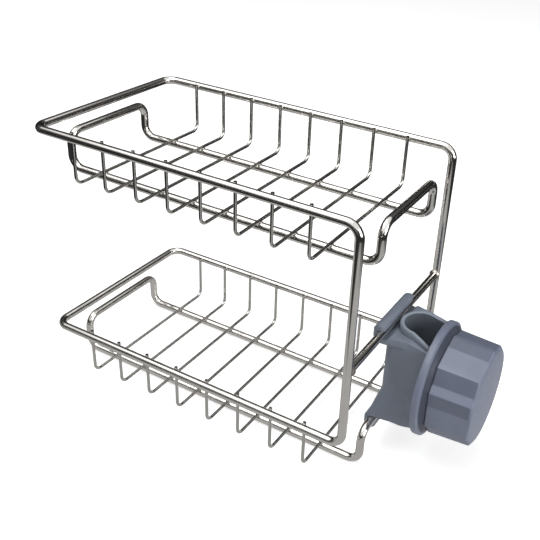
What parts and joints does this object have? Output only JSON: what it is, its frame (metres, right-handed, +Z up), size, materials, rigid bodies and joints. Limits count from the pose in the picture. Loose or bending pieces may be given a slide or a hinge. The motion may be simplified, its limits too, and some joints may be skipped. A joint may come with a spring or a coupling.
{
  "type": "faucet organizer rack",
  "caption": "Stainless wire rack with an upper and a lower basket, hung on a faucet neck by a plastic clamp with hooks and a large screw knob.",
  "frame": {"origin": "axis of the faucet neck that the clamp holds, at the height of the knob's axis", "axes": "+X from the neck to the knob, +Z up along the neck, the shelves reach out along -X"},
  "size_m": [0.2489, 0.1146, 0.1577],
  "materials": {
    "thick_wire": "polished stainless wire",
    "thin_wire": "polished stainless wire",
    "clamp_plastic": "satin moulded, grey blue",
    "knob_plastic": "satin moulded, grey blue",
    "liner_rubber": "soft moulded, light grey blue",
    "pad_plastic": "moulded, dark grey"
  },
  "bodies": {
    "rack": {"main_frame": "thick_wire", "cross_bar": "thick_wire", "upper_support": "thick_wire", "lower_support": "thick_wire", "upper_wire_1": "thin_wire", "upper_wire_2": "thin_wire", "upper_wire_3": "thin_wire", "upper_wire_4": "thin_wire", "upper_wire_5": "thin_wire", "upper_wire_6": "thin_wire", "upper_wire_7": "thin_wire", "upper_wire_8": "thin_wire", "lower_wire_1": "thin_wire", "lower_wire_2": "thin_wire", "lower_wire_3": "thin_wire", "lower_wire_4": "thin_wire", "lower_wire_5": "thin_wire", "lower_wire_6": "thin_wire", "lower_wire_7": "thin_wire", "lower_wire_8": "thin_wire", "clamp_body": "clamp_plastic", "liner": "liner_rubber"},
    "pad": {"pressure_pad": "pad_plastic"},
    "knob": {"knob": "knob_plastic"}
  },
  "joints": [
    {"name": "pad_travel", "type": "slide", "parent": "rack", "child": "pad", "axis": [1, 0, 0], "range_m": [0, 0.012]},
    {"name": "knob_turn", "type": "hinge", "parent": "pad", "child": "knob", "pos_m": [0.03, 0, 0], "axis": [1, 0, 0], "range_deg": [0, 1440]}
  ],
  "couplings": [
    {"joint": "pad_travel", "follows": "knob_turn", "m_per_rad": 0.000477}
  ]
}
